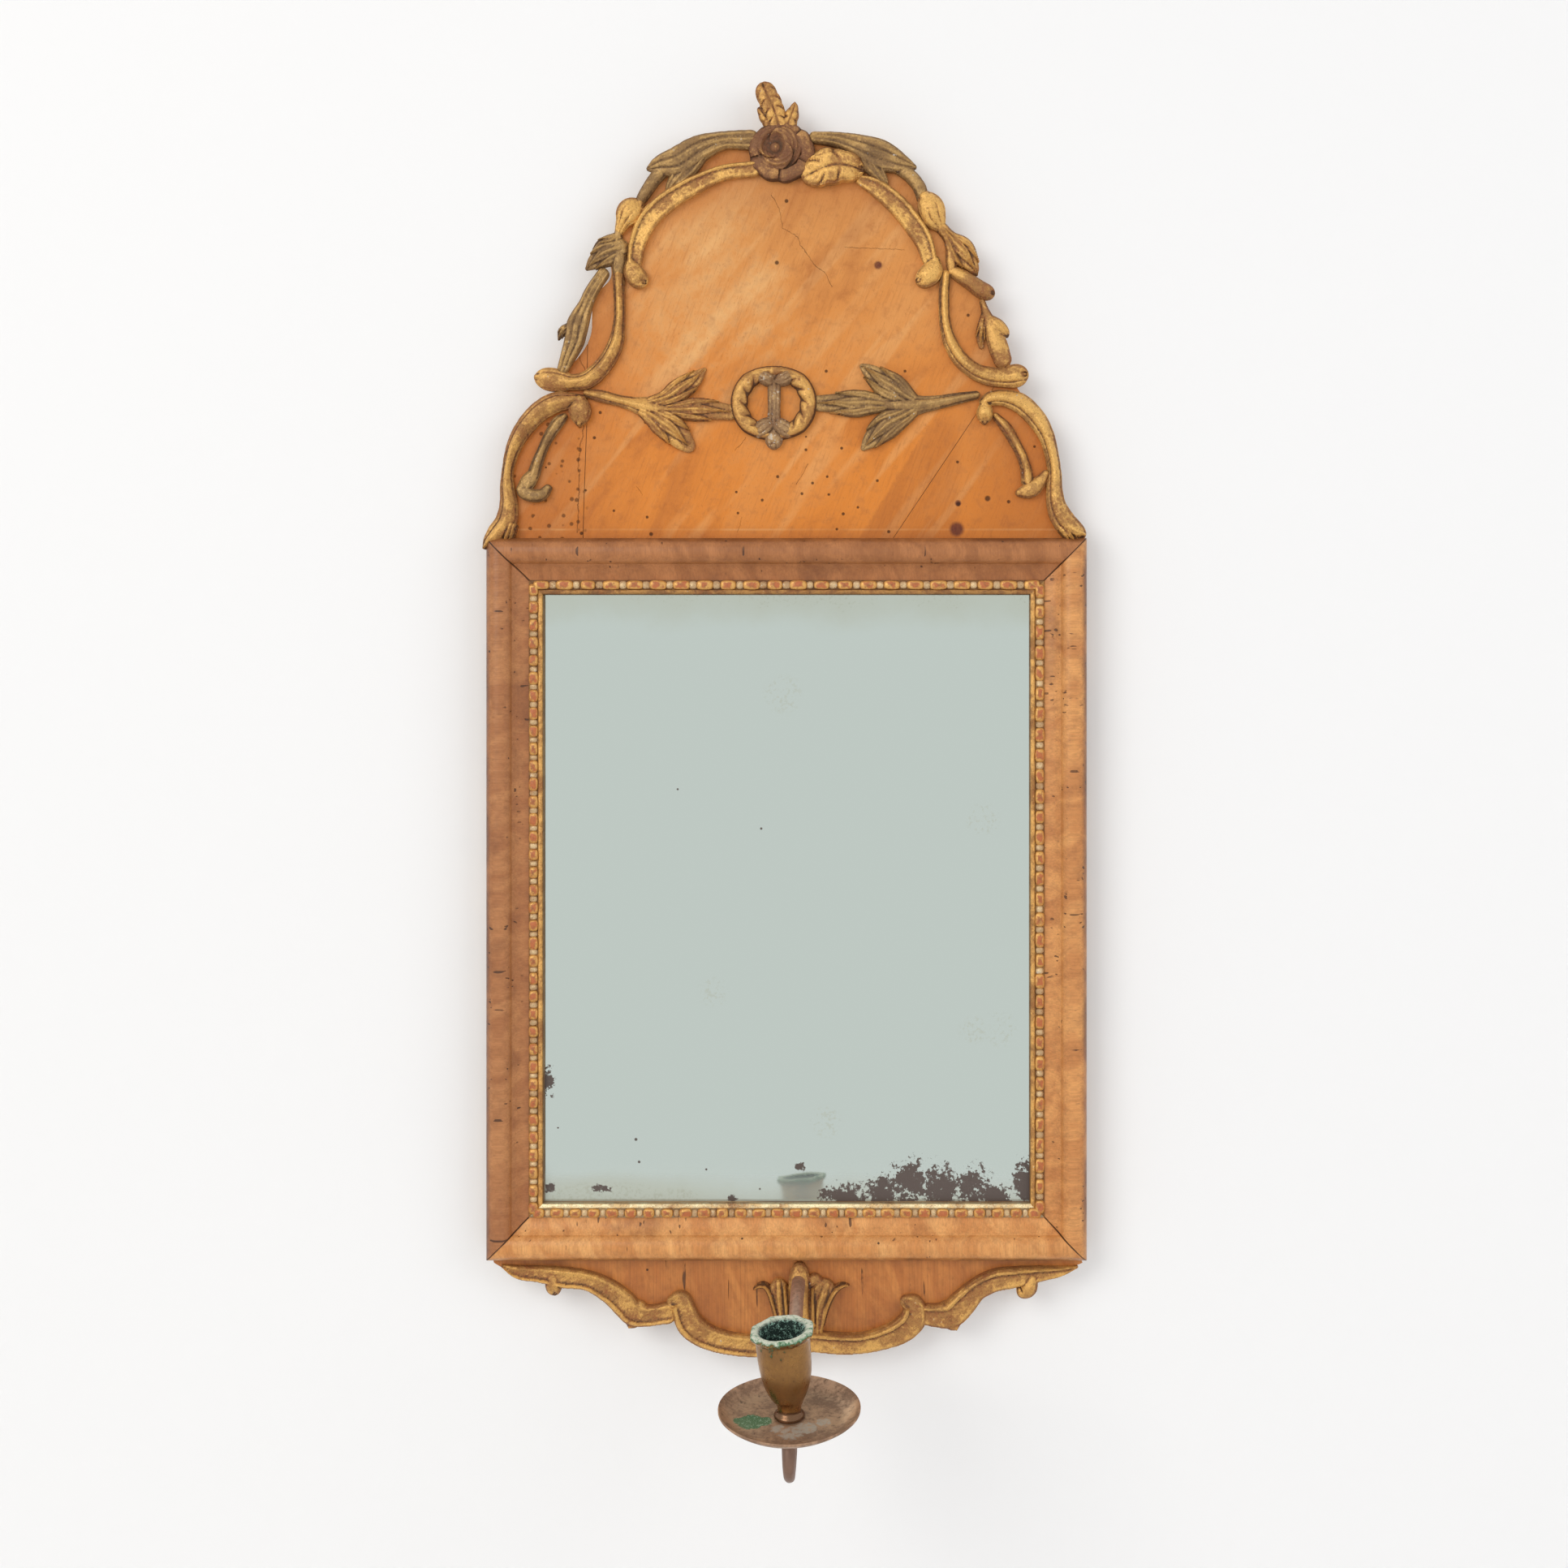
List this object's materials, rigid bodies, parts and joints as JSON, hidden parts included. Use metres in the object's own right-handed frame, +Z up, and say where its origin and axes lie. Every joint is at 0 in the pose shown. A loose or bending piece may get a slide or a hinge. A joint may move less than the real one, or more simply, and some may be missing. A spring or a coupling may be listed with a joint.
{
  "type": "girandole wall mirror",
  "caption": "Tall veneered wall mirror with a fretted crest, gilt carved scrollwork, a beaded sight edge and a brass candle arm with pan and nozzle below.",
  "frame": {"origin": "middle of the hanger hole where it opens onto the wall plane, at the back of the crest", "axes": "+X to the right seen from the front, -Y out from the wall into the room, +Z up"},
  "size_m": [0.3749, 0.2094, 0.8115],
  "materials": {
    "pine": "bare aged softwood",
    "rail_veneer": "waxed cross-banded veneer",
    "crest_veneer": "waxed veneer, vertical grain",
    "worn_gilding": "worn gilding over red bole",
    "gilt_wood": "worn gilding over bole and gesso",
    "mirror_plate": "old silvering, foxed at the foot",
    "tin_leaf": "dull tin amalgam",
    "wrought_iron": "rusted iron",
    "arm_brass": "brown patinated brass",
    "pan_brass": "brown patinated brass with verdigris",
    "nozzle_brass": "olive brass with a verdigris rim"
  },
  "bodies": {
    "mirror_frame": {"acanthus_left": "gilt_wood", "acanthus_right": "gilt_wood", "apron_block": "pine", "apron_board": "pine", "apron_lily": "gilt_wood", "apron_scroll_left": "gilt_wood", "apron_scroll_right": "gilt_wood", "apron_veneer": "crest_veneer", "apron_volute_left": "gilt_wood", "apron_volute_right": "gilt_wood", "arch_rib_left": "gilt_wood", "arch_rib_right": "gilt_wood", "backboard_lower": "pine", "backboard_nails": "wrought_iron", "backboard_upper": "pine", "branch_left": "gilt_wood", "branch_right": "gilt_wood", "bud_left": "gilt_wood", "bud_right": "gilt_wood", "c_scroll_left": "gilt_wood", "c_scroll_right": "gilt_wood", "centre_ring": "gilt_wood", "crest_board": "pine", "crest_veneer_left": "crest_veneer", "crest_veneer_middle": "crest_veneer", "crest_veneer_right": "crest_veneer", "finial_flower": "gilt_wood", "finial_leaves": "gilt_wood", "foot_scroll_left": "gilt_wood", "foot_scroll_right": "gilt_wood", "frame_rail_bottom": "pine", "frame_rail_left": "pine", "frame_rail_right": "pine", "frame_rail_top": "pine", "glass_wedges": "pine", "hanger_batten": "pine", "hanger_nails": "wrought_iron", "hanger_plate": "wrought_iron", "leaf_left": "gilt_wood", "leaf_right": "gilt_wood", "mirror_glass": "mirror_plate", "rail_veneer_bottom": "rail_veneer", "rail_veneer_left": "rail_veneer", "rail_veneer_right": "rail_veneer", "rail_veneer_top": "rail_veneer", "ring_bar": "gilt_wood", "side_battens": "pine", "side_bud": "gilt_wood", "sight_beading_bottom": "worn_gilding", "sight_beading_left": "worn_gilding", "sight_beading_right": "worn_gilding", "sight_beading_top": "worn_gilding", "spray_left": "gilt_wood", "spray_right": "gilt_wood", "tin_backing": "tin_leaf", "vine_left": "gilt_wood", "vine_right": "gilt_wood"},
    "candle_arm": {"candle_arm": "arm_brass"},
    "drip_pan": {"drip_pan": "pan_brass"},
    "candle_nozzle": {"candle_nozzle": "nozzle_brass"}
  },
  "joints": [
    {"name": "arm_draw", "type": "slide", "parent": "mirror_frame", "child": "candle_arm", "axis": [0, -1, 0], "range_m": [0, 0.03]},
    {"name": "pan_turn", "type": "hinge", "parent": "candle_arm", "child": "drip_pan", "pos_m": [0.0075, -0.17, -0.67], "axis": [0, -0.1219, 0.9925], "continuous": true},
    {"name": "nozzle_turn", "type": "hinge", "parent": "candle_arm", "child": "candle_nozzle", "pos_m": [0.0075, -0.17, -0.67], "axis": [0, -0.1219, 0.9925], "continuous": true}
  ]
}
